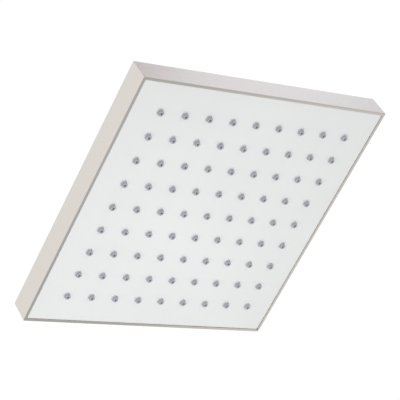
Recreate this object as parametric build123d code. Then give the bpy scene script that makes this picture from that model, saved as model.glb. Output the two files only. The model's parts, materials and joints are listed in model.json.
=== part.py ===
from build123d import *

import math
import os

# Square rain shower head that hangs face down from a swivel ball inlet.
# Lengths are millimetres, angles are degrees, +Z is up.
# The origin is the centre of the inlet's open mouth, where the supply pipe screws in.

# Tray: a shallow square pan of sheet metal, open at the bottom
TRAY_SIDE = 200.0
TRAY_HEIGHT = 17.5
TRAY_SHEET = 2.0
TRAY_CORNER = 0.8  # radius of the four upright corners
TRAY_TOP_ROUND = 0.5
TRAY_RIM_ROUND = 0.4  # outer edge of the rim

# Spray face: a moulded plate set into the rim, with the water chamber's wall on its back
FACE_RECESS = 0.5  # from the rim up to the face
FACE_THICK = 3.0
FACE_GAP = 0.1  # between the face and the tray, all round
FACE_CORNER = 0.8
FACE_EDGE_ROUND = 0.25
CHAMBER_WALL = 4.0
CHAMBER_CORNER = 5.0  # inside radius of the chamber's corners

# Nozzle mat: one soft sheet whose nozzles poke through the face
NOZZLES_A_SIDE = 9
NOZZLE_ROOT = 4.6  # diameter up to the face
NOZZLE_TIP = 3.8  # diameter
NOZZLE_PROUD = 2.6  # how far a nozzle stands out of the face
NOZZLE_LIP = 0.4  # bevel of the tip's edge
NOZZLE_FIT = 0.1  # between a nozzle's root and its hole
FUNNEL = 3.0  # diameter of a nozzle's bore at the chamber
JET = 1.4  # diameter of a nozzle's bore at the tip
MAT_THICK = 1.5
MAT_GAP = 0.3  # between the mat and the chamber wall
MAT_BORDER = 7.15  # from the outer nozzles' centres to the mat's edge

# Chamber cover, its seal and its screws
COVER_THICK = 2.5
RIB_THICK = 2.0
POST_DIAMETER = 3.2
SEAL_WIDTH = 1.8
SEAL_HEIGHT = 1.4
SEAL_FIT = 0.1  # between the seal and the sides of its groove
SCREWS_A_SIDE = 4
SCREW_INSET = 7.6  # from the face's edge to the screws
SCREW_DIAMETER = 2.4
SCREW_HEAD = 5.4  # diameter
SCREW_HEAD_HEIGHT = 1.8
SCREW_RECESS = 0.9  # depth of the cross in a head
SCREW_RECESS_WIDTH = 0.8
SCREW_FIT = 0.05  # between a screw and its pilot hole
SCREW_CLEARANCE = 0.3  # between a screw and its hole in the cover
SCREW_END_ROOM = 0.6  # under a screw's end
PILOT_FLOOR = 0.6  # left under a pilot hole, above the face's back
BOSS_WALL = 2.2  # round a pilot hole
BOSS_BITE = 0.8  # how far a screw boss runs into the chamber wall
HEAD_ROOM = 0.8  # between the screw heads and the tray

# Hub in the cover, with its threaded insert
HUB_WALL = 3.95  # round the insert
INSERT_WALL = 2.9  # round the spigot
INSERT_FIT = 0.05  # between the insert and the hub

# Inlet boss: spigot below, flange on the tray, ball socket above
BOSS_BORE = 12.0  # diameter of the waterway
SPIGOT_WALL = 2.55  # between the waterway and the seal's groove
SPIGOT_GAP = 0.3  # between the spigot and the tray's hole
SPIGOT_FIT = 0.1  # between the spigot and what it screws or plugs into
PORT_STEP = 0.6  # the port's radius is this much less than the spigot's
SPIGOT_LIP = 0.8  # below the seal's groove
SPIGOT_SHOULDER = 0.3  # above the seal's groove
SPIGOT_SEAL = 1.8  # thickness of the o-ring
OUTLET_GAP = 1.6  # for water, between the spigot and the mat
BOSS_FLOOR = 1.9  # under the seat
FLANGE_RIM = 3.8  # how far the flange stands out past the collar
FLANGE_FLAT_RIM = 1.8  # the same, at its two spanner flats
FLANGE_THICK = 3.5
FLANGE_CHAMFER = 1.2
GASKET_THICK = 1.0
GASKET_INSET = 0.6  # inside the flange's flats

# Ball joint
BALL_DIAMETER = 24.0
BALL_GAP = 0.15  # between the ball and its seat and ring
BALL_BORE = 10.0  # diameter of the waterway
TILT_LIMIT = 15.0  # each way
SWING_CLEARANCE = 0.7  # left at the collar's mouth at the end of the tilt
SEAT_BORE = 14.0  # diameter
SEAT_DEPTH = 5.0  # from the ball's centre down to the seat's top
SEAT_LAND = 0.5  # width of the seat's flat top
SEAT_BASE = 1.0  # thickness at the bore
TURN_FIT = 0.1  # between seat or ring and what they turn in
CUP_GAP = 0.4  # between the ball and the cup's wall
CUP_WALL = 2.1
CUP_RIM = 1.0  # height of the cup's rim above the ball's centre
RING_HEIGHT = 4.5
COLLAR_WALL = 2.6
COLLAR_FIT = 0.1  # between the collar's thread and the cup's
COLLAR_SHOULDER = 2.0
COLLAR_CHAMFER = 1.4
COLLAR_GAP = 0.4  # between the collar and the flange
FLUTES = 30
FLUTE_DIAMETER = 2.4
FLUTE_DEPTH = 0.6
FLUTE_LENGTH = 8.0

# Ball nut with its female pipe thread, G 1/2
NECK_WALL = 1.7  # round the flow restrictor
NUT_WALL = 2.5225  # least wall round the thread, for 26 across flats
NUT_FLOOR = 3.0
NUT_CHAMFER_ANGLE = 30.0
THREAD_DIAMETER = 20.955  # across the thread's roots
THREAD_LENGTH = 9.5
WASHER_STEP = 1.2775  # the washer's radius is this much less than the thread's
WASHER_BORE = 12.0
WASHER_THICK = 2.4
WASHER_FIT = 0.2
FILTER_THICK = 0.5
FILTER_HOLE = 0.9
FILTER_PITCH = 1.45
RESTRICTOR_DIAMETER = 12.4
RESTRICTOR_FIT = 0.1
RESTRICTOR_LIP = 1.1  # above and below the seal's groove
RESTRICTOR_SEAL = 1.5  # thickness of the o-ring
RESTRICTOR_SEAL_PLAY = 0.15  # above and below the o-ring
RESTRICTOR_HOLES = 6
RESTRICTOR_HOLE = 1.6
RESTRICTOR_CIRCLE = 5.6  # diameter of the circle of holes
SEAL_SLACK = 0.05  # round an o-ring in its groove

# Radii that several pieces share
ball_r = BALL_DIAMETER / 2
socket_r = ball_r + BALL_GAP
seat_r = math.sqrt(socket_r**2 - SEAT_DEPTH**2) + SEAT_LAND
cup_r = ball_r + CUP_GAP
cup_thread_r = cup_r + CUP_WALL
collar_bore_r = cup_thread_r + COLLAR_FIT
collar_r = collar_bore_r + COLLAR_WALL
flange_r = collar_r + FLANGE_RIM
flange_flat_r = collar_r + FLANGE_FLAT_RIM
thread_r = THREAD_DIAMETER / 2
washer_r = thread_r - WASHER_STEP
nut_flat_r = thread_r + NUT_WALL
nut_corner_r = nut_flat_r / math.cos(math.radians(30))
restrictor_r = RESTRICTOR_DIAMETER / 2
restrictor_bore_r = restrictor_r + RESTRICTOR_FIT
neck_r = restrictor_bore_r + NECK_WALL
spigot_groove_r = BOSS_BORE / 2 + SPIGOT_WALL
port_r = spigot_groove_r + SEAL_SLACK + SPIGOT_SEAL
spigot_nose_r = port_r - SPIGOT_FIT
spigot_r = port_r + PORT_STEP
tray_hole_r = spigot_r + SPIGOT_GAP
insert_r = spigot_r + SPIGOT_FIT + INSERT_WALL
insert_pocket_r = insert_r + INSERT_FIT
hub_r = insert_pocket_r + HUB_WALL

# Heights in the ball nut, from its mouth down
z_thread_end = -THREAD_LENGTH
z_filter_top = z_thread_end - WASHER_THICK
z_socket_floor = z_filter_top - FILTER_THICK
z_restrictor = z_socket_floor - 2 * (RESTRICTOR_LIP + RESTRICTOR_SEAL_PLAY) - RESTRICTOR_SEAL
z_nut_bottom = z_socket_floor - NUT_FLOOR

# Heights in the ball joint, above the ball's centre
ring_low = CUP_RIM + TURN_FIT
ring_high = ring_low + RING_HEIGHT
shoulder_low = ring_high + TURN_FIT
collar_top = shoulder_low + COLLAR_SHOULDER
tilt = math.radians(TILT_LIMIT)
nut_lift = (collar_top + SWING_CLEARANCE + nut_corner_r * math.sin(tilt)) / math.cos(tilt)
neck_swing_r = neck_r / math.cos(tilt) + collar_top * math.tan(tilt)
ball_at_shoulder_r = math.sqrt(ball_r**2 - shoulder_low**2)
collar_mouth_r = max(neck_swing_r, ball_at_shoulder_r) + SWING_CLEARANCE

# Heights from the ball down to the tray
z_ball = z_nut_bottom - nut_lift
z_seat_top = z_ball - SEAT_DEPTH
z_seat_low = z_ball - math.sqrt(socket_r**2 - (SEAT_BORE / 2) ** 2) - SEAT_BASE
z_pocket_floor = z_seat_low - TURN_FIT
z_flange_low = z_pocket_floor - BOSS_FLOOR
z_flange_top = z_flange_low + FLANGE_THICK
z_collar_low = z_flange_top + COLLAR_GAP
z_tray_top = z_flange_low - GASKET_THICK
z_tray_under = z_tray_top - TRAY_SHEET
z_rim = z_tray_top - TRAY_HEIGHT

# Heights in the tray, from the rim up
z_face = z_rim + FACE_RECESS
z_face_back = z_face + FACE_THICK
z_mat_top = z_face_back + MAT_THICK
z_nozzle_tip = z_face - NOZZLE_PROUD
z_spigot_end = z_mat_top + OUTLET_GAP
z_groove_low = z_spigot_end + SPIGOT_LIP
z_groove_top = z_groove_low + SPIGOT_SEAL + 2 * SEAL_SLACK
z_insert_low = z_groove_top + SPIGOT_SHOULDER
z_cover_top = z_tray_under - HEAD_ROOM - SCREW_HEAD_HEIGHT
z_cover_low = z_cover_top - COVER_THICK
z_pilot_floor = z_face_back + PILOT_FLOOR
z_screw_end = z_pilot_floor + SCREW_END_ROOM

# Half widths, from the tray's side inwards
tray_half = TRAY_SIDE / 2
tray_inner_half = tray_half - TRAY_SHEET
face_half = tray_inner_half - FACE_GAP
screw_line = face_half - SCREW_INSET
screw_boss_r = SCREW_DIAMETER / 2 + SCREW_FIT + BOSS_WALL
chamber_outer_half = screw_line - screw_boss_r + BOSS_BITE
chamber_half = chamber_outer_half - CHAMBER_WALL
mat_half = chamber_half - MAT_GAP
cover_half = screw_line + screw_boss_r
nozzle_half = mat_half - MAT_BORDER
nozzle_pitch = 2 * nozzle_half / (NOZZLES_A_SIDE - 1)
seal_half = (chamber_outer_half + chamber_half) / 2


def slab(half, low, high, corner):
    """A square block with rounded upright corners, centred on the axis."""
    outline = RectangleRounded(2 * half, 2 * half, corner)
    return Pos(0, 0, low) * extrude(outline, high - low)


def drum(radius, low, high):
    """A cylinder on the axis."""
    upwards = (Align.CENTER, Align.CENTER, Align.MIN)
    return Pos(0, 0, low) * Cylinder(radius, high - low, align=upwards)


def tube(outer_r, inner_r, low, high):
    """A straight ring on the axis."""
    return drum(outer_r, low, high) - drum(inner_r, low, high)


def turned(*points):
    """A turned piece: a closed outline of (radius, height) points, spun about the axis."""
    return revolve(Plane.XZ * make_face(Polyline(*points, close=True)), Axis.Z)


def o_ring(inner_r, thickness, height):
    """A round seal, centred at a height."""
    return Pos(0, 0, height) * Torus(inner_r + thickness / 2, thickness / 2)


def ball_space(radius):
    """The room that the ball and its clearance take up."""
    return Pos(0, 0, z_ball) * Sphere(radius)


def chamber_slab(half, low, high):
    """A block whose corners stay parallel to the chamber's."""
    return slab(half, low, high, CHAMBER_CORNER + half - chamber_half)


def seal_band(width, low, high):
    """A square band along the middle of the chamber wall."""
    outer = chamber_slab(seal_half + width / 2, low, high)
    return outer - chamber_slab(seal_half - width / 2, low, high)


def nozzle_places():
    """Centres of the nozzles, row by row."""
    steps = [nozzle_pitch * i - nozzle_half for i in range(NOZZLES_A_SIDE)]
    return [Pos(x, y, 0) for y in steps for x in steps]


def screw_places():
    """Centres of the screws, evenly along the four sides."""
    step = 2 * screw_line / SCREWS_A_SIDE
    along = [step * (i + 0.5) - screw_line for i in range(SCREWS_A_SIDE)]
    sides = [Rot(0, 0, 90 * side) for side in range(4)]
    return [side * Pos(x, -screw_line, 0) for side in sides for x in along]


def post_places():
    """Centres of the cover's support posts, each between four nozzles."""
    steps = [nozzle_pitch * odd / 2 for odd in (-7, -3, 3, 7)]
    return [Pos(x, y, 0) for y in steps for x in steps]


def make_tray():
    """Folded pan with rounded edges and a hole for the inlet boss."""
    pan = slab(tray_half, z_rim, z_tray_top, TRAY_CORNER)
    pan = fillet(pan.faces().sort_by(Axis.Z)[-1].edges(), TRAY_TOP_ROUND)
    pan = fillet(pan.faces().sort_by(Axis.Z)[0].edges(), TRAY_RIM_ROUND)
    hollow = extrude(Rectangle(2 * tray_inner_half, 2 * tray_inner_half), z_tray_under - z_rim)
    return pan - Pos(0, 0, z_rim) * hollow - drum(tray_hole_r, z_tray_under, z_tray_top)


def make_face_plate():
    """Spray face with a hole for each nozzle, the chamber's wall and the screw bosses."""
    plate = slab(face_half, z_face, z_face_back, FACE_CORNER)
    plate = fillet(plate.faces().sort_by(Axis.Z)[0].edges(), FACE_EDGE_ROUND)
    wall = chamber_slab(chamber_outer_half, z_face_back, z_cover_low)
    wall -= chamber_slab(chamber_half, z_face_back, z_cover_low)
    boss = drum(screw_boss_r, z_face_back, z_cover_low)
    pilot = drum(SCREW_DIAMETER / 2 + SCREW_FIT, z_pilot_floor, z_cover_low)
    hole = drum(NOZZLE_ROOT / 2 + NOZZLE_FIT, z_face, z_face_back)
    body = plate + wall + [place * boss for place in screw_places()]
    body -= seal_band(SEAL_WIDTH + 2 * SEAL_FIT, z_cover_low - SEAL_HEIGHT, z_cover_low)
    body -= [place * pilot for place in screw_places()]
    return body - [place * hole for place in nozzle_places()]


def make_nozzle_mat():
    """Soft sheet with nozzles that taper below the face, each with a tapered bore."""
    sheet = chamber_slab(mat_half, z_face_back, z_mat_top)
    root_r = NOZZLE_ROOT / 2
    tip_r = NOZZLE_TIP / 2
    nozzle = turned(
        (0, z_face_back),
        (root_r, z_face_back),
        (root_r, z_face),
        (tip_r, z_nozzle_tip + NOZZLE_LIP),
        (tip_r - NOZZLE_LIP, z_nozzle_tip),
        (0, z_nozzle_tip),
    )
    bore = turned((0, z_mat_top), (FUNNEL / 2, z_mat_top), (JET / 2, z_nozzle_tip), (0, z_nozzle_tip))
    body = sheet + [place * nozzle for place in nozzle_places()]
    return body - [place * bore for place in nozzle_places()]


def make_chamber_cover():
    """Lid of the chamber, with ribs up to the tray, posts down to the mat and a hub for the boss."""
    plate = chamber_slab(cover_half, z_cover_low, z_cover_top)
    hub = drum(hub_r, z_spigot_end, z_tray_under)
    rib_height = z_tray_under - z_cover_top
    upwards = (Align.CENTER, Align.CENTER, Align.MIN)
    straight = Pos(0, 0, z_cover_top) * Box(2 * chamber_half, RIB_THICK, rib_height, align=upwards)
    corner_reach = chamber_half * math.sqrt(2) - CHAMBER_CORNER
    slanted = Pos(0, 0, z_cover_top) * Box(2 * corner_reach, RIB_THICK, rib_height, align=upwards)
    ribs = [straight, Rot(0, 0, 90) * straight, Rot(0, 0, 45) * slanted, Rot(0, 0, -45) * slanted]
    post = drum(POST_DIAMETER / 2, z_mat_top, z_cover_low)
    body = plate + hub + ribs + [place * post for place in post_places()]
    body -= drum(insert_pocket_r, z_insert_low, z_tray_under)
    body -= drum(port_r, z_spigot_end, z_insert_low)
    hole = drum(SCREW_DIAMETER / 2 + SCREW_CLEARANCE, z_cover_low, z_cover_top)
    return body - [place * hole for place in screw_places()]


def make_chamber_seal():
    """Square cord seal, squeezed into its groove."""
    return seal_band(SEAL_WIDTH, z_cover_low - SEAL_HEIGHT, z_cover_low)


def make_chamber_screws():
    """Round-headed screws with a cross recess, as separate solids."""
    z_head_top = z_cover_top + SCREW_HEAD_HEIGHT
    screw = drum(SCREW_DIAMETER / 2, z_screw_end, z_cover_top)
    screw += drum(SCREW_HEAD / 2, z_cover_top, z_head_top)
    screw = fillet(screw.faces().sort_by(Axis.Z)[-1].edges(), SCREW_HEAD_HEIGHT / 2)
    slot_length = SCREW_HEAD - SCREW_HEAD_HEIGHT
    slot = Pos(0, 0, z_head_top) * Box(slot_length, SCREW_RECESS_WIDTH, 2 * SCREW_RECESS)
    screw -= slot + Rot(0, 0, 90) * slot
    return Compound([place * screw for place in screw_places()])


def make_hub_insert():
    """Threaded sleeve in the cover's hub."""
    return tube(insert_r, spigot_r + SPIGOT_FIT, z_insert_low, z_tray_under)


def make_spigot_seal():
    """O-ring round the boss's nose."""
    return o_ring(spigot_groove_r + SEAL_SLACK / 2, SPIGOT_SEAL, (z_groove_low + z_groove_top) / 2)


def make_inlet_boss():
    """Turned boss: nose and spigot, flange with two flats, and the cup that holds the ball's seat."""
    z_cup_rim = z_ball + CUP_RIM
    pocket_r = seat_r + TURN_FIT
    body = turned(
        (BOSS_BORE / 2, z_spigot_end),
        (spigot_nose_r, z_spigot_end),
        (spigot_nose_r, z_groove_low),
        (spigot_groove_r, z_groove_low),
        (spigot_groove_r, z_groove_top),
        (spigot_nose_r, z_groove_top),
        (spigot_nose_r, z_insert_low),
        (spigot_r, z_insert_low),
        (spigot_r, z_flange_low),
        (flange_r, z_flange_low),
        (flange_r, z_flange_top - FLANGE_CHAMFER),
        (flange_r - FLANGE_CHAMFER, z_flange_top),
        (cup_thread_r, z_flange_top),
        (cup_thread_r, z_cup_rim),
        (cup_r, z_cup_rim),
        (cup_r, z_seat_top),
        (pocket_r, z_seat_top),
        (pocket_r, z_pocket_floor),
        (BOSS_BORE / 2, z_pocket_floor),
    )
    between_flats = Box(2 * flange_r, 2 * flange_flat_r, 2 * (z_cup_rim - z_spigot_end))
    return body & Pos(0, 0, z_spigot_end) * between_flats


def make_boss_gasket():
    """Flat gasket between flange and tray."""
    return tube(flange_flat_r - GASKET_INSET, tray_hole_r, z_tray_top, z_flange_low)


def make_ball_seat():
    """Soft ring, hollowed to the ball."""
    return tube(seat_r, SEAT_BORE / 2, z_seat_low, z_seat_top) - ball_space(socket_r)


def make_collar_ring():
    """Hard ring above the ball's middle, hollowed to the ball."""
    return drum(cup_thread_r, z_ball + ring_low, z_ball + ring_high) - ball_space(socket_r)


def make_ball_collar():
    """Ring nut over the cup, with a shoulder, a bevelled mouth and a fluted grip."""
    z_shoulder = z_ball + shoulder_low
    z_top = z_ball + collar_top
    ring = turned(
        (collar_bore_r, z_collar_low),
        (collar_r, z_collar_low),
        (collar_r, z_top - COLLAR_CHAMFER),
        (collar_r - COLLAR_CHAMFER, z_top),
        (collar_mouth_r, z_top),
        (collar_mouth_r, z_shoulder),
        (collar_bore_r, z_shoulder),
    )
    flute_r = FLUTE_DIAMETER / 2
    flute = drum(flute_r, z_collar_low, z_collar_low + FLUTE_LENGTH)
    flute = Pos(collar_r - FLUTE_DEPTH + flute_r, 0, 0) * flute
    return ring - [Rot(0, 0, 360 * i / FLUTES) * flute for i in range(FLUTES)]


def make_ball_nut():
    """Ball, neck and hexagon nut in one piece, bored right through."""
    chamfer_drop = (nut_corner_r - nut_flat_r) * math.tan(math.radians(NUT_CHAMFER_ANGLE))
    hexagon = Pos(0, 0, z_nut_bottom) * extrude(RegularPolygon(nut_corner_r, 6), -z_nut_bottom)
    rounded = turned(
        (0, z_nut_bottom),
        (nut_flat_r, z_nut_bottom),
        (nut_corner_r, z_nut_bottom + chamfer_drop),
        (nut_corner_r, -chamfer_drop),
        (nut_flat_r, 0),
        (0, 0),
    )
    body = (hexagon & rounded) + drum(neck_r, z_ball, z_nut_bottom) + ball_space(ball_r)
    body -= drum(thread_r, z_thread_end, 0)
    body -= drum(washer_r + WASHER_FIT, z_socket_floor, z_thread_end)
    body -= drum(restrictor_bore_r, z_restrictor, z_socket_floor)
    return body - drum(BALL_BORE / 2, z_ball - ball_r, z_restrictor)


def make_inlet_washer():
    """Flat rubber washer that the pipe's end seals on."""
    return tube(washer_r, WASHER_BORE / 2, z_filter_top, z_thread_end)


def make_filter_screen():
    """Thin disc, pierced in a honeycomb pattern under the washer's bore."""
    disc = drum(washer_r, z_socket_floor, z_filter_top)
    hole = drum(FILTER_HOLE / 2, z_socket_floor, z_filter_top)
    reach = WASHER_BORE / 2 - FILTER_HOLE / 2
    count = math.ceil(reach / FILTER_PITCH) + 1
    row_step = FILTER_PITCH * math.sqrt(3) / 2
    grid = [
        (FILTER_PITCH * (i + 0.5 * (j % 2)), row_step * j)
        for j in range(-count, count + 1)
        for i in range(-count, count + 1)
    ]
    return disc - [Pos(x, y, 0) * hole for x, y in grid if math.hypot(x, y) <= reach]


def make_flow_restrictor():
    """Drilled disc with a groove for its seal."""
    groove_r = restrictor_r - RESTRICTOR_SEAL - SEAL_SLACK
    body = turned(
        (0, z_restrictor),
        (restrictor_r, z_restrictor),
        (restrictor_r, z_restrictor + RESTRICTOR_LIP),
        (groove_r, z_restrictor + RESTRICTOR_LIP),
        (groove_r, z_socket_floor - RESTRICTOR_LIP),
        (restrictor_r, z_socket_floor - RESTRICTOR_LIP),
        (restrictor_r, z_socket_floor),
        (0, z_socket_floor),
    )
    hole = Pos(RESTRICTOR_CIRCLE / 2, 0, 0) * drum(RESTRICTOR_HOLE / 2, z_restrictor, z_socket_floor)
    return body - [Rot(0, 0, 360 * i / RESTRICTOR_HOLES) * hole for i in range(RESTRICTOR_HOLES)]


def make_restrictor_seal():
    """O-ring round the restrictor."""
    inner_r = restrictor_r - RESTRICTOR_SEAL
    return o_ring(inner_r, RESTRICTOR_SEAL, (z_restrictor + z_socket_floor) / 2)


PIECES = {
    "tray": make_tray,
    "face_plate": make_face_plate,
    "nozzle_mat": make_nozzle_mat,
    "chamber_cover": make_chamber_cover,
    "chamber_seal": make_chamber_seal,
    "chamber_screws": make_chamber_screws,
    "hub_insert": make_hub_insert,
    "spigot_seal": make_spigot_seal,
    "inlet_boss": make_inlet_boss,
    "boss_gasket": make_boss_gasket,
    "ball_seat": make_ball_seat,
    "collar_ring": make_collar_ring,
    "ball_collar": make_ball_collar,
    "ball_nut": make_ball_nut,
    "inlet_washer": make_inlet_washer,
    "filter_screen": make_filter_screen,
    "flow_restrictor": make_flow_restrictor,
    "restrictor_seal": make_restrictor_seal,
}

os.makedirs("parts", exist_ok=True)
for node, make in PIECES.items():
    export_step(make(), f"parts/{node}.step")
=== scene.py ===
"""Finish a square rain shower head: brushed nickel, a white spray face, soft nozzles and a studio."""

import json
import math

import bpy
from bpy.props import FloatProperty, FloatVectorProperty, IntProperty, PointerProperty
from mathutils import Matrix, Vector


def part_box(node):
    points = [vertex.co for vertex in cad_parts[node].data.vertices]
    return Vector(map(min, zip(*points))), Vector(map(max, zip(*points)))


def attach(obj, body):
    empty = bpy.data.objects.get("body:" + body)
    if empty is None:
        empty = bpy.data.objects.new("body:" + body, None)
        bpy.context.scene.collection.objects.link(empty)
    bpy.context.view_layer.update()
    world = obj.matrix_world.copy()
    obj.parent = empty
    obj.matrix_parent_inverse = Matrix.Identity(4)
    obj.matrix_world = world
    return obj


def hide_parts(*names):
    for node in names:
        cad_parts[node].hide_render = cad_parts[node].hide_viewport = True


bl_info = {
    "name": "Square Rain Shower Head",
    "version": (1, 0, 0),
    "blender": (4, 5, 0),
    "location": "View3D > Sidebar > Shower Head",
    "description": "Finishes, soft nozzles, pipe thread and studio for a square rain shower head",
    "category": "Object",
}

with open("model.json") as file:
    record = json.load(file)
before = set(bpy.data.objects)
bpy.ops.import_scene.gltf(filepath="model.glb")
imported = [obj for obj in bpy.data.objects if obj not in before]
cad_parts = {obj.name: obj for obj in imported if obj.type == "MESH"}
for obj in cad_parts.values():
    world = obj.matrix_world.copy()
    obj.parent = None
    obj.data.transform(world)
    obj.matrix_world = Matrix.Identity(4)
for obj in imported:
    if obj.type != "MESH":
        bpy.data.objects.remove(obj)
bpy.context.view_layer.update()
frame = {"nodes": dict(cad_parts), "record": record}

MM = 0.001
SENSOR_MM = 36.0
SHARP_ANGLE = math.radians(35)
TIP_STEPS = 4
CORNER_STEPS = 8
WELD = 0.001 * MM
TRAY_LOW, TRAY_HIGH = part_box("tray")
MAT_LOW, MAT_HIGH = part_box("nozzle_mat")
FACE_LOW, FACE_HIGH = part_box("face_plate")
INLET = next(mount for mount in frame["record"]["mounts"] if mount["name"] == "inlet")


def length(label, text, default, **more):
    """A size in metres that a user can change."""
    return FloatProperty(name=label, description=text, default=default, unit="LENGTH", precision=5, **more)


def tone(label, text, default):
    """A colour that a user can change."""
    return FloatVectorProperty(
        name=label, description=text, default=default, subtype="COLOR", size=3, min=0.0, max=1.0
    )


def place(label, text, default):
    """A place that a user can change."""
    return FloatVectorProperty(name=label, description=text, default=default, size=3, subtype="TRANSLATION")


def power(label, text, default):
    """The power of a light."""
    return FloatProperty(name=label, description=text, default=default, unit="POWER", min=0.0)


def share(label, text, default):
    """A number from none to all."""
    return FloatProperty(name=label, description=text, default=default, subtype="FACTOR", min=0.0, max=1.0)


class NickelSettings(bpy.types.PropertyGroup):
    """The brushed nickel of tray and fittings."""

    light: tone("Light tone", "Colour of the raised brush lines", (0.735, 0.695, 0.65))
    dark: tone("Dark tone", "Colour between the brush lines", (0.665, 0.625, 0.585))
    gloss: share("Roughness", "Roughness of the brushed surface", 0.3)
    line: length("Line width", "Width of one brush line", 0.35 * MM)
    run: length("Line length", "Length of one brush line", 60 * MM)
    depth: length("Line depth", "Depth of the brush lines", 0.012 * MM)


class FaceSettings(bpy.types.PropertyGroup):
    """The white spray face."""

    white: tone("White", "Colour of the moulded face", (0.856, 0.876, 0.871))
    gloss: share("Roughness", "Roughness of the moulded face", 0.22)
    ripple: length("Ripple", "Size of the faint waves of the moulding", 6 * MM)
    ripple_depth: length("Ripple depth", "Depth of the faint waves", 0.006 * MM)


class NozzleSettings(bpy.types.PropertyGroup):
    """The silicone mat and its nozzles."""

    rows: IntProperty(name="Rows", description="Nozzles along each side", default=9, min=2)
    border: length("Border", "From the outer nozzles' centres to the mat's edge", 7.15 * MM)
    corner: length("Corner", "Radius of the mat's corners", 4.7 * MM)
    sheet: length("Sheet", "Thickness of the mat", 1.5 * MM)
    root: length("Root radius", "Radius of a nozzle up to the face", 2.3 * MM)
    tip: length("Tip radius", "Radius of a nozzle's end", 1.9 * MM)
    funnel: length("Funnel radius", "Radius of the bore at the chamber", 1.5 * MM)
    jet: length("Jet radius", "Radius of the bore at the tip", 0.7 * MM)
    lip: length("Lip", "Rounding of the nozzle's end", 0.45 * MM)
    throat: length("Throat", "Rounding of the bore's edge at the tip", 0.35 * MM)
    segments: IntProperty(name="Segments", description="Sides of one nozzle", default=28, min=8)
    grey: tone("Grey", "Colour of the silicone at the tips", (0.41, 0.435, 0.475))
    # The pale tone is painted light: a glow for light from the white face shining through the silicone at
    # the root. The glow height sets how far down from the face it is painted.
    pale: tone("Pale", "Colour of the silicone at the face", (0.85, 0.87, 0.88))
    glow: length("Glow", "Height of the pale root", 1.1 * MM)


class ThreadSettings(bpy.types.PropertyGroup):
    """The female pipe thread in the inlet."""

    pitch: length("Pitch", "Rise of one turn", 1.814 * MM)
    depth: length("Depth", "Height of the ridge", 1.162 * MM)
    crest: length("Crest", "Width of the ridge's crest", 0.3 * MM)
    lead: length("Lead", "Plain wall left at both ends", 0.5 * MM)
    bite: length("Bite", "How far the ridge is sunk into the wall", 0.05 * MM)
    foot: share("Foot", "Half of the ridge's foot, as a share of the pitch", 0.46)
    segments: IntProperty(name="Segments", description="Steps in one turn", default=64, min=16)


class InnerSettings(bpy.types.PropertyGroup):
    """The colours of the seals and of the pieces inside."""

    rubber: tone("Rubber", "Colour of the seals", (0.028, 0.028, 0.03))
    cover: tone("Cover", "Colour of the chamber's cover", (0.74, 0.73, 0.69))
    screws: tone("Screws", "Colour of the chamber's screws", (0.58, 0.58, 0.57))
    brass: tone("Brass", "Colour of the hub's insert", (0.75, 0.55, 0.24))
    screen: tone("Screen", "Colour of the filter screen", (0.6, 0.6, 0.59))
    restrictor: tone("Restrictor", "Colour of the flow restrictor", (0.3, 0.44, 0.56))
    ring: tone("Ring", "Colour of the collar's friction ring", (0.82, 0.82, 0.8))


class StageSettings(bpy.types.PropertyGroup):
    """Floor, light and camera."""

    hang: length("Hanging height", "Height of the spray face above the floor", 2.1)
    floor_side: length("Floor side", "Side of the floor", 30.0)
    floor_tone: tone("Floor tone", "Colour of the floor", (0.5, 0.495, 0.49))
    sky: FloatProperty(name="Sky", description="Brightness of the white surroundings", default=1.02)
    left_power: power("Left power", "Power of the soft light on the left", 2.2)
    front_power: power("Front power", "Power of the soft light in front", 1.54)
    low_power: power("Low power", "Power of the small light below the spray face", 0.67)
    left_from: place("Left from", "Place of the left light, from the rim's centre", (-1.2, 0.1, -0.9))
    front_from: place("Front from", "Place of the front light, from the rim's centre", (0.0, -1.2, -0.9))
    low_from: place("Low from", "Place of the low light, from the rim's centre", (-0.05, 0.08, -0.4))
    side_size: length("Side lights", "Side of the left and front lights", 0.6)
    low_size: length("Low light", "Side of the low light", 0.3)
    rim_power: power("Rim power", "Power of the light that the rim mirrors", 0.17)
    rim_from: place("Rim from", "Place of the rim's light, from the rim's centre", (0.47, 0.25, -0.3))
    rim_size: length("Rim light", "Side of the rim's light", 0.4)
    cool_power: power("Cool power", "Power of the light that the front wall mirrors", 0.04)
    cool_from: place(
        "Cool from", "Place of the front wall's light, from the rim's centre", (0.41, -0.334, 0.41)
    )
    cool_size: length("Cool light", "Side of the front wall's light", 0.3)
    cool_tone: tone("Cool tone", "Colour of the front wall's light", (0.22, 0.36, 1.0))
    card_side: length("Card side", "Side of the two cards that the front wall mirrors", 0.5)
    near_tone: tone("Near tone", "Colour of the card at the wall's near end", (0.89, 0.85, 0.9))
    near_from: place("Near from", "Place of the near card, from the rim's centre", (0.0, -0.36, 0.44))
    far_tone: tone("Far tone", "Colour of the card at the wall's far end", (0.88, 0.9, 0.9))
    far_from: place("Far from", "Place of the far card, from the rim's centre", (0.91, -0.36, 0.44))
    heading: FloatProperty(
        name="Heading", description="Compass heading that the camera looks along, from +Y to +X",
        default=math.radians(51.74), subtype="ANGLE",
    )
    rise: FloatProperty(
        name="Rise", description="How far the camera looks up",
        default=math.radians(41.476), subtype="ANGLE",
    )
    roll: FloatProperty(
        name="Roll", description="Turn of the camera about its line of sight",
        default=math.radians(-34.147), subtype="ANGLE",
    )
    distance: length("Distance", "From the camera to the point it looks at", 1.1135)
    aim: place("Aim", "The point looked at, from the rim's centre", (-12.14 * MM, -12.67 * MM, 0.0))
    lens: FloatProperty(name="Lens", description="Focal length in millimetres", default=150.32)


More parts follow.
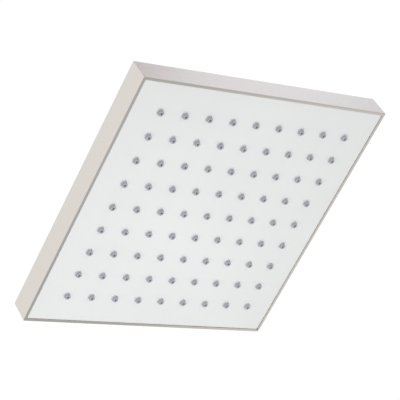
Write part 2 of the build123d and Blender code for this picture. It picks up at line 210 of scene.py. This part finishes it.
class Wire:
    """One socket of a node tree, so that sums on values read as sums."""

    def __init__(self, graph, socket):
        self.graph = graph
        self.socket = socket

    def __add__(self, other):
        return self.graph.maths("ADD", self, other)

    def __radd__(self, other):
        return self.graph.maths("ADD", other, self)

    def __sub__(self, other):
        return self.graph.maths("SUBTRACT", self, other)

    def __rsub__(self, other):
        return self.graph.maths("SUBTRACT", other, self)

    def __mul__(self, other):
        return self.graph.maths("MULTIPLY", self, other)

    def __rmul__(self, other):
        return self.graph.maths("MULTIPLY", other, self)

    def __truediv__(self, other):
        return self.graph.maths("DIVIDE", self, other)

    def __gt__(self, other):
        return self.graph.maths("GREATER_THAN", self, other)

    def __lt__(self, other):
        return self.graph.maths("LESS_THAN", self, other)

    def __neg__(self):
        return self.graph.maths("MULTIPLY", self, -1.0)


class Graph:
    """A node tree that is written as expressions."""

    def __init__(self, tree):
        self.tree = tree

    def node(self, kind, settings=None, sockets=None, output=0):
        """Add a node: its settings first, then its sockets' values or links. Returns one output."""
        node = self.tree.nodes.new(kind)
        for name, value in (settings or {}).items():
            setattr(node, name, value)
        for name, value in (sockets or {}).items():
            for item in value if isinstance(value, list) else [value]:
                if isinstance(item, Wire):
                    self.tree.links.new(item.socket, node.inputs[name])
                else:
                    node.inputs[name].default_value = item
        return Wire(self, node.outputs[output]) if node.outputs else None

    def maths(self, operation, first, second):
        """One Math node."""
        return self.node("ShaderNodeMath", {"operation": operation}, {0: first, 1: second})

    def vector(self, x, y, z):
        """A vector from three values."""
        return self.node("ShaderNodeCombineXYZ", None, {"X": x, "Y": y, "Z": z})


class Finish(Graph):
    """A procedural material on Object coordinates."""

    def __init__(self, name, constants=None):
        self.material = bpy.data.materials.new(name)
        self.material.use_nodes = True
        super().__init__(self.material.node_tree)
        self.shader = self.tree.nodes["Principled BSDF"]
        for socket, value in (constants or {}).items():
            self.shader.inputs[socket].default_value = value
        source = self.tree.nodes.new("ShaderNodeTexCoord")
        split = self.tree.nodes.new("ShaderNodeSeparateXYZ")
        self.tree.links.new(source.outputs["Object"], split.inputs[0])
        self.place = Wire(self, source.outputs["Object"])
        self.x, self.y, self.z = (Wire(self, out) for out in split.outputs)

    def noise(self, where, scale=1.0, detail=2.0, roughness=0.5):
        """Soft noise about 0.5."""
        return self.node(
            "ShaderNodeTexNoise", None,
            {"Vector": where, "Scale": scale, "Detail": detail, "Roughness": roughness},
        )

    def between(self, first, second, factor):
        """A colour between two colours."""
        sockets = {"Factor": factor, 6: (*first, 1.0), 7: (*second, 1.0)}
        return self.node("ShaderNodeMix", {"data_type": "RGBA"}, sockets, output=2)

    def radius(self):
        """Distance from the inlet's axis."""
        return self.node("ShaderNodeMath", {"operation": "SQRT"}, {0: self.x * self.x + self.y * self.y})

    def step(self, value, low, high):
        """A smooth step from 0 at low to 1 at high."""
        sockets = {"Value": value, "From Min": low, "From Max": high}
        return self.node("ShaderNodeMapRange", {"interpolation_type": "SMOOTHSTEP"}, sockets)

    def feed(self, wires):
        """Link what changes over the surface to the shader."""
        for socket, wire in wires.items():
            self.tree.links.new(wire.socket, self.shader.inputs[socket])

    def relief(self, height, depth, strength=1.0):
        """Bump from a height field, into the shader's normal."""
        sockets = {"Height": height, "Distance": depth, "Strength": strength}
        self.feed({"Normal": self.node("ShaderNodeBump", None, sockets)})


def dress(node, material):
    """Give a carried-over solid its finish."""
    slots = frame["nodes"][node].data.materials
    slots.clear()
    slots.append(material)


def brushed_nickel(name, nickel, lines):
    """Satin nickel, brushed along lines, a function that gives the place across and along the lines."""
    finish = Finish(name, {"Metallic": 1.0})
    streaks = finish.noise(lines(finish, nickel), detail=4.0, roughness=0.65)
    patches = finish.noise(finish.place, scale=14.0)
    finish.feed({
        "Base Color": finish.between(nickel.dark, nickel.light, streaks * 0.7 + patches * 0.3),
        "Roughness": nickel.gloss + (streaks - 0.5) * 0.16 + (patches - 0.5) * 0.06,
    })
    finish.relief(streaks, nickel.depth)
    return finish.material


def sheet_lines(finish, nickel):
    """Brush lines along the tray's sides, and along X on its top."""
    on_top = finish.step(finish.z, TRAY_HIGH.z - 0.5 * MM, TRAY_HIGH.z - 0.2 * MM)
    along = 1.0 / nickel.run
    across = 1.0 / nickel.line
    by_y = along + on_top * (across - along)
    return finish.vector(finish.x * along, finish.y * by_y, finish.z * across)


def lathe_lines(finish, nickel):
    """Brush lines round the inlet's axis, as a lathe leaves them."""
    along = 1.0 / nickel.run
    across = 1.0 / nickel.line
    return finish.vector(finish.radius() * across, (finish.x + finish.y) * along, finish.z * across)


def shades(colour, spread):
    """A deeper and a paler shade of a colour."""
    deep = [channel * (1.0 - spread) for channel in colour]
    pale = [min(1.0, channel * (1.0 + spread)) for channel in colour]
    return deep, pale


def moulded(name, colour, roughness, grain, depth, constants=None):
    """A moulded finish: one colour with slight unevenness, and a fine grain."""
    finish = Finish(name, constants)
    cloud = finish.noise(finish.place, scale=18.0, detail=3.0)
    fine = finish.noise(finish.place, scale=1.0 / grain, detail=3.0)
    finish.feed({
        "Base Color": finish.between(*shades(colour, 0.03), cloud),
        "Roughness": roughness + (fine - 0.5) * 0.12 + (cloud - 0.5) * 0.05,
    })
    finish.relief(fine, depth)
    return finish.material


def silicone_with_painted_glow(nozzle):
    """Grey silicone with painted light: painted paler at the root, for the light of the white face shining
    through, and greyer below.
    """
    finish = Finish("Milky_Silicone", {"IOR": 1.41})
    cloud = finish.noise(finish.place, scale=180.0, detail=3.0)
    fine = finish.noise(finish.place, scale=1.0 / (0.5 * MM), detail=3.0)
    # Painted glow: this mask paints the silicone paler towards the face, for light from the white face
    # shining through it.
    painted_glow_mask = finish.step(finish.z, FACE_LOW.z - nozzle.glow, FACE_LOW.z)
    finish.feed({
        "Base Color": finish.between(nozzle.grey, nozzle.pale, painted_glow_mask * 0.9 + cloud * 0.1),
        "Roughness": 0.34 + (fine - 0.5) * 0.12,
    })
    finish.relief(fine, 0.004 * MM)
    return finish.material


def turned_metal(name, colour, roughness, nickel):
    """A small turned or rolled metal piece."""
    finish = Finish(name, {"Metallic": 1.0})
    rings = finish.noise(lathe_lines(finish, nickel), detail=3.0)
    finish.feed({
        "Base Color": finish.between(*shades(colour, 0.06), rings),
        "Roughness": roughness + (rings - 0.5) * 0.14,
    })
    finish.relief(rings, nickel.depth)
    return finish.material


def geometry_tree(name, inputs):
    """A Geometry Nodes tree with named inputs. Returns its graph and a wire for each input."""
    tree = bpy.data.node_groups.new(name, "GeometryNodeTree")
    tree.interface.new_socket("Geometry", in_out="OUTPUT", socket_type="NodeSocketGeometry")
    for label, kind in inputs.items():
        tree.interface.new_socket(label, in_out="INPUT", socket_type=kind)
    graph = Graph(tree)
    source = tree.nodes.new("NodeGroupInput")
    return graph, {label: Wire(graph, source.outputs[label]) for label in inputs}


def grow(name, graph, shape, material, values):
    """End a tree, run it with its inputs' values and keep the result as a plain mesh piece."""
    solid = graph.node("GeometryNodeRealizeInstances", None, {"Geometry": shape})
    solid = graph.node("GeometryNodeSetMaterial", None, {"Geometry": solid, "Material": material})
    graph.node("NodeGroupOutput", None, {"Geometry": solid})
    seed = bpy.data.objects.new(name + "_seed", bpy.data.meshes.new(name + "_seed"))
    bpy.context.scene.collection.objects.link(seed)
    modifier = seed.modifiers.new(name, "NODES")
    modifier.node_group = graph.tree
    for item in graph.tree.interface.items_tree:
        if item.in_out == "INPUT":
            modifier[item.identifier] = values[item.name]
    evaluated = seed.evaluated_get(bpy.context.evaluated_depsgraph_get())
    mesh = bpy.data.meshes.new_from_object(evaluated)
    bpy.data.objects.remove(seed)
    if not mesh.polygons:
        raise RuntimeError(f"{name} came out empty")
    mesh.shade_smooth()
    mesh.set_sharp_from_angle(angle=SHARP_ANGLE)
    piece = bpy.data.objects.new(name, mesh)
    bpy.context.scene.collection.objects.link(piece)
    return piece


def outline(graph, corners):
    """A closed outline with straight sides through its corners, each given as x and y."""
    index = graph.node("GeometryNodeInputIndex")
    where = graph.vector(*corners[0], 0.0)
    for number, corner in enumerate(corners[1:]):
        sockets = {"Switch": index > number + 0.5, "False": where, "True": graph.vector(*corner, 0.0)}
        where = graph.node("GeometryNodeSwitch", {"input_type": "VECTOR"}, sockets)
    ring = graph.node("GeometryNodeCurvePrimitiveCircle", None, {"Resolution": len(corners)})
    return graph.node("GeometryNodeSetPosition", None, {"Geometry": ring, "Position": where})


def swept(graph, path, profile, scale=1.0):
    """A closed profile carried along a path, upright all the way. Profile X points out, Y points down."""
    path = graph.node("GeometryNodeSetCurveNormal", {"mode": "Z_UP"}, {"Curve": path})
    sockets = {"Curve": path, "Profile Curve": profile, "Scale": scale, "Fill Caps": True}
    return graph.node("GeometryNodeCurveToMesh", None, sockets)


class SHOWER_OT_tray(bpy.types.Operator):
    """Brush the sheet-metal tray"""

    bl_idname = "shower.tray"
    bl_label = "Brushed tray"

    def execute(self, context):
        dress("tray", brushed_nickel("Brushed_Tray", context.scene.shower_nickel, sheet_lines))
        return {"FINISHED"}


class SHOWER_OT_fittings(bpy.types.Operator):
    """Brush the turned fittings of the ball inlet"""

    bl_idname = "shower.fittings"
    bl_label = "Brushed fittings"

    def execute(self, context):
        material = brushed_nickel("Brushed_Fitting", context.scene.shower_nickel, lathe_lines)
        for node in ("inlet_boss", "ball_collar", "ball_nut"):
            dress(node, material)
        return {"FINISHED"}


class SHOWER_OT_spray_face(bpy.types.Operator):
    """Give the spray face its white moulded finish"""

    bl_idname = "shower.spray_face"
    bl_label = "White spray face"

    def execute(self, context):
        face = context.scene.shower_face
        dress("face_plate", moulded("White_Face", face.white, face.gloss, face.ripple, face.ripple_depth))
        return {"FINISHED"}


class SHOWER_OT_nozzles(bpy.types.Operator):
    """Grow the silicone mat with its nozzles"""

    bl_idname = "shower.nozzles"
    bl_label = "Soft nozzles"

    def execute(self, context):
        nozzle = context.scene.shower_nozzle
        half = MAT_HIGH.x
        values = {
            "Rows": nozzle.rows,
            "Spread": 2 * (half - nozzle.border),
            "Side": 2 * half,
            "Corner": nozzle.corner,
            "Top": MAT_HIGH.z,
            "Sheet": nozzle.sheet,
            "Face": FACE_LOW.z,
            "End": MAT_LOW.z,
            "Root": nozzle.root,
            "Tip": nozzle.tip,
            "Funnel": nozzle.funnel,
            "Jet": nozzle.jet,
            "Lip": nozzle.lip,
            "Throat": nozzle.throat,
            "Segments": nozzle.segments,
        }
        whole = ("Rows", "Segments")
        kinds = {label: "NodeSocketInt" if label in whole else "NodeSocketFloat" for label in values}
        graph, size = geometry_tree("Soft_Nozzles", kinds)
        places = graph.node("GeometryNodeMeshGrid", None, {
            "Size X": size["Spread"], "Size Y": size["Spread"],
            "Vertices X": size["Rows"], "Vertices Y": size["Rows"],
        })
        nozzles = graph.node("GeometryNodeInstanceOnPoints", None, {
            "Points": places, "Instance": self.one_nozzle(graph, size),
        })
        sheet = self.pierced_sheet(graph, size, places)
        both = graph.node("GeometryNodeJoinGeometry", None, {0: [nozzles, sheet]})
        piece = grow("soft_nozzles", graph, both, silicone_with_painted_glow(nozzle), values)
        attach(piece, "head")
        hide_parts("nozzle_mat")
        return {"FINISHED"}

    def one_nozzle(self, graph, size):
        """A sleeve, straight through the face and then tapered to a rounded end, spun round its axis."""
        ring = size["Root"]
        wall = outline(graph, [
            (0.0, size["Sheet"] - size["Top"]),
            (0.0, -size["Face"]),
            (size["Tip"] - ring, -size["End"]),
            (size["Jet"] - ring, -size["End"]),
            (size["Funnel"] - ring, -size["Top"]),
        ])
        index = graph.node("GeometryNodeInputIndex")
        at_tip = (index > 1.5) * (index < 2.5)
        at_jet = (index > 2.5) * (index < 3.5)
        wall = graph.node("GeometryNodeFilletCurve", {"mode": "POLY"}, {
            "Curve": wall, "Radius": size["Lip"] * at_tip + size["Throat"] * at_jet, "Count": TIP_STEPS,
        })
        path = graph.node("GeometryNodeCurvePrimitiveCircle", None, {
            "Resolution": size["Segments"], "Radius": ring,
        })
        return swept(graph, path, wall)

    def pierced_sheet(self, graph, size, places):
        """A rounded square sheet with a hole at each nozzle."""
        edge = graph.node("GeometryNodeCurvePrimitiveQuadrilateral", None, {
            "Width": size["Side"], "Height": size["Side"],
        })
        edge = graph.node("GeometryNodeFilletCurve", {"mode": "POLY"}, {
            "Curve": edge, "Radius": size["Corner"], "Count": CORNER_STEPS, "Limit Radius": True,
        })
        hole = graph.node("GeometryNodeCurvePrimitiveCircle", None, {
            "Resolution": size["Segments"], "Radius": (size["Funnel"] + size["Root"]) * 0.5,
        })
        holes = graph.node("GeometryNodeInstanceOnPoints", None, {"Points": places, "Instance": hole})
        holes = graph.node("GeometryNodeRealizeInstances", None, {"Geometry": holes})
        edges = graph.node("GeometryNodeJoinGeometry", None, {0: [edge, holes]})
        skin = graph.node("GeometryNodeFillCurve", None, {"Curve": edges})
        low = graph.node("GeometryNodeSetPosition", None, {
            "Geometry": skin, "Offset": graph.vector(0.0, 0.0, size["Top"] - size["Sheet"]),
        })
        under = graph.node("GeometryNodeFlipFaces", None, {"Mesh": low})
        upper = graph.node("GeometryNodeExtrudeMesh", None, {
            "Mesh": low, "Offset": graph.vector(0.0, 0.0, size["Sheet"]), "Individual": False,
        })
        shell = graph.node("GeometryNodeJoinGeometry", None, {0: [under, upper]})
        return graph.node("GeometryNodeMergeByDistance", None, {"Geometry": shell, "Distance": WELD})


class SHOWER_OT_inlet_thread(bpy.types.Operator):
    """Add the turns of the pipe thread to the inlet's socket"""

    bl_idname = "shower.inlet_thread"
    bl_label = "Inlet thread"

    def execute(self, context):
        thread = context.scene.shower_thread
        wall = INLET["dims"]["r_mm"] * MM
        rise = INLET["dims"]["length_mm"] * MM - 2 * thread.lead
        values = {
            "Wall": wall,
            "Rise": rise,
            "Turns": rise / thread.pitch,
            "Depth": thread.depth,
            "Crest": thread.crest,
            "Lead": thread.lead,
            "Bite": thread.bite,
            "Foot": thread.foot * thread.pitch,
        }
        graph, size = geometry_tree("Inlet_Thread", {label: "NodeSocketFloat" for label in values})
        helix = graph.node("GeometryNodeCurveSpiral", None, {
            "Resolution": thread.segments, "Rotations": size["Turns"], "Start Radius": size["Wall"],
            "End Radius": size["Wall"], "Height": size["Rise"],
        })
        along = graph.node("GeometryNodeSplineParameter")
        fade = self.taper(graph, along * size["Turns"], (1.0 - along) * size["Turns"])
        ridge = outline(graph, [
            (size["Bite"], -size["Foot"]),
            (-size["Depth"], size["Crest"] * -0.5),
            (-size["Depth"], size["Crest"] * 0.5),
            (size["Bite"], size["Foot"]),
        ])
        ridge = swept(graph, helix, ridge, fade)
        ridge = graph.node("GeometryNodeSetPosition", None, {
            "Geometry": ridge, "Offset": graph.vector(0.0, 0.0, -size["Rise"] - size["Lead"]),
        })
        material = frame["nodes"]["ball_nut"].data.materials[0]
        piece = grow("inlet_thread", graph, ridge, material, values)
        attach(piece, "inlet")
        return {"FINISHED"}

    def taper(self, graph, from_start, from_end):
        """The ridge rises over the first half turn and falls over the last."""
        nearest = graph.maths("MINIMUM", from_start, from_end)
        return graph.node("ShaderNodeMapRange", None, {
            "Value": nearest, "From Min": 0.0, "From Max": 0.5, "To Min": 0.05, "To Max": 1.0,
        })


class SHOWER_OT_seals(bpy.types.Operator):
    """Give the seals, gaskets and washers their black rubber"""

    bl_idname = "shower.seals"
    bl_label = "Rubber seals"

    def execute(self, context):
        inner = context.scene.shower_inner
        rubber = moulded("Black_Rubber", inner.rubber, 0.55, 0.25 * MM, 0.01 * MM)
        seals = (
            "chamber_seal", "spigot_seal", "boss_gasket",
            "ball_seat", "inlet_washer", "restrictor_seal",
        )
        for node in seals:
            dress(node, rubber)
        return {"FINISHED"}


class SHOWER_OT_chamber(bpy.types.Operator):
    """Finish the water chamber's cover, screws and insert"""

    bl_idname = "shower.chamber"
    bl_label = "Water chamber"

    def execute(self, context):
        nickel = context.scene.shower_nickel
        inner = context.scene.shower_inner
        dress("chamber_cover", moulded("Natural_Plastic", inner.cover, 0.45, 0.4 * MM, 0.01 * MM))
        dress("chamber_screws", turned_metal("Screw_Steel", inner.screws, 0.32, nickel))
        dress("hub_insert", turned_metal("Bare_Brass", inner.brass, 0.3, nickel))
        return {"FINISHED"}


class SHOWER_OT_inlet_parts(bpy.types.Operator):
    """Finish the small pieces inside the ball inlet"""

    bl_idname = "shower.inlet_parts"
    bl_label = "Inlet parts"

    def execute(self, context):
        nickel = context.scene.shower_nickel
        inner = context.scene.shower_inner
        dress("filter_screen", turned_metal("Screen_Steel", inner.screen, 0.28, nickel))
        dress("flow_restrictor", moulded("Restrictor_Plastic", inner.restrictor, 0.4, 0.3 * MM, 0.008 * MM))
        dress("collar_ring", moulded("Bearing_Plastic", inner.ring, 0.38, 0.3 * MM, 0.008 * MM))
        return {"FINISHED"}


class SHOWER_OT_stage(bpy.types.Operator):
    """Set the floor, the light and the camera"""

    bl_idname = "shower.stage"
    bl_label = "Stage"

    def execute(self, context):
        stage = context.scene.shower_stage
        rim = Vector((0.0, 0.0, TRAY_LOW.z))
        self.make_sheets(context.scene, stage, rim)
        self.make_light(context.scene, stage, rim)
        self.make_camera(context.scene, stage, rim)
        context.scene.view_settings.view_transform = "Standard"
        return {"FINISHED"}

    def make_sheets(self, scene, stage, rim):
        """A plain pale floor, as far below as in a shower, and two cards beside the front wall."""
        below = Vector((0.0, 0.0, FACE_LOW.z - stage.hang))
        self.add_sheet(scene, "floor", stage.floor_side, stage.floor_tone, below, Vector((0.0, 0.0, 1.0)))
        self.add_card(scene, "near_card", stage.card_side, stage.near_tone, rim, stage.near_from)
        self.add_card(scene, "far_card", stage.card_side, stage.far_tone, rim, stage.far_from)

    def add_card(self, scene, name, side, colour, target, offset):
        """One card that faces its target, and that only the metal mirrors."""
        card = self.add_sheet(scene, name, side, colour, target + Vector(offset), -Vector(offset))
        card.visible_camera = False
        card.visible_diffuse = False
        card.visible_shadow = False

    def add_sheet(self, scene, name, side, colour, where, facing):
        """One matt square that faces a direction."""
        half = side / 2
        mesh = bpy.data.meshes.new(name)
        corners = [(-half, -half, 0.0), (half, -half, 0.0), (half, half, 0.0), (-half, half, 0.0)]
        mesh.from_pydata(corners, [], [(0, 1, 2, 3)])
        mesh.materials.append(moulded("Matt_" + name, colour, 0.8, 2 * MM, 0.02 * MM))
        sheet = bpy.data.objects.new(name, mesh)
        sheet.location = where
        sheet.rotation_euler = facing.to_track_quat("Z", "Y").to_euler()
        scene.collection.objects.link(sheet)
        return sheet

    def make_light(self, scene, stage, rim):
        """White surroundings, three soft lights on the face, and two that only the metal mirrors."""
        world = bpy.data.worlds.new("Studio")
        world.use_nodes = True
        sky = world.node_tree.nodes["Background"]
        sky.inputs["Color"].default_value = (1.0, 1.0, 1.0, 1.0)
        sky.inputs["Strength"].default_value = stage.sky
        scene.world = world
        self.add_light(scene, "left_light", rim, stage.left_from, stage.side_size, stage.left_power)
        self.add_light(scene, "front_light", rim, stage.front_from, stage.side_size, stage.front_power)
        self.add_light(scene, "low_light", rim, stage.low_from, stage.low_size, stage.low_power)
        warm = self.add_light(scene, "rim_light", rim, stage.rim_from, stage.rim_size, stage.rim_power)
        cool = self.add_light(scene, "cool_light", rim, stage.cool_from, stage.cool_size, stage.cool_power)
        cool.data.color = stage.cool_tone
        for light in (warm, cool):
            light.visible_diffuse = False
            light.visible_glossy = True

    def add_light(self, scene, name, target, offset, size, energy):
        """One square soft light that faces its target and isn't seen itself."""
        lamp = bpy.data.lights.new(name, "AREA")
        lamp.shape = "SQUARE"
        lamp.size = size
        lamp.energy = energy
        light = bpy.data.objects.new(name, lamp)
        light.location = target + Vector(offset)
        light.rotation_euler = Vector(offset).to_track_quat("Z", "Y").to_euler()
        light.visible_camera = False
        light.visible_glossy = False
        scene.collection.objects.link(light)
        return light

    def make_camera(self, scene, stage, rim):
        """A long lens that looks up at the spray face, turned about its line of sight."""
        flat = Vector((math.sin(stage.heading), math.cos(stage.heading), 0.0))
        look = flat * math.cos(stage.rise) + Vector((0.0, 0.0, math.sin(stage.rise)))
        level = look.cross(Vector((0.0, 0.0, 1.0))).normalized()
        upright = level.cross(look)
        right = level * math.cos(stage.roll) + upright * math.sin(stage.roll)
        up = upright * math.cos(stage.roll) - level * math.sin(stage.roll)
        data = bpy.data.cameras.new("camera")
        data.sensor_width = SENSOR_MM
        data.lens = stage.lens
        camera = bpy.data.objects.new("camera", data)
        turn = Matrix((right, up, -look)).transposed().to_4x4()
        camera.matrix_world = Matrix.Translation(rim + Vector(stage.aim) - look * stage.distance) @ turn
        scene.collection.objects.link(camera)
        scene.camera = camera


OPERATORS = (
    SHOWER_OT_tray,
    SHOWER_OT_fittings,
    SHOWER_OT_spray_face,
    SHOWER_OT_nozzles,
    SHOWER_OT_inlet_thread,
    SHOWER_OT_seals,
    SHOWER_OT_chamber,
    SHOWER_OT_inlet_parts,
    SHOWER_OT_stage,
)
SETTINGS = {
    "shower_nickel": NickelSettings,
    "shower_face": FaceSettings,
    "shower_nozzle": NozzleSettings,
    "shower_thread": ThreadSettings,
    "shower_inner": InnerSettings,
    "shower_stage": StageSettings,
}


class SHOWER_PT_pieces(bpy.types.Panel):
    """The pieces of the shower head, in the order that they are made"""

    bl_label = "Shower Head"
    bl_idname = "SHOWER_PT_pieces"
    bl_space_type = "VIEW_3D"
    bl_region_type = "UI"
    bl_category = "Shower Head"

    def draw(self, context):
        for operator in OPERATORS:
            self.layout.operator(operator.bl_idname)


def register():
    for settings in SETTINGS.values():
        bpy.utils.register_class(settings)
    for name, settings in SETTINGS.items():
        setattr(bpy.types.Scene, name, PointerProperty(type=settings))
    for operator in OPERATORS:
        bpy.utils.register_class(operator)
    bpy.utils.register_class(SHOWER_PT_pieces)


def unregister():
    bpy.utils.unregister_class(SHOWER_PT_pieces)
    for operator in reversed(OPERATORS):
        bpy.utils.unregister_class(operator)
    for name, settings in SETTINGS.items():
        delattr(bpy.types.Scene, name)
        bpy.utils.unregister_class(settings)


def main():
    register()
    bpy.ops.shower.tray()
    bpy.ops.shower.fittings()
    bpy.ops.shower.spray_face()
    bpy.ops.shower.nozzles()
    bpy.ops.shower.inlet_thread()
    bpy.ops.shower.seals()
    bpy.ops.shower.chamber()
    bpy.ops.shower.inlet_parts()
    bpy.ops.shower.stage()


if __name__ == "__main__":
    main()
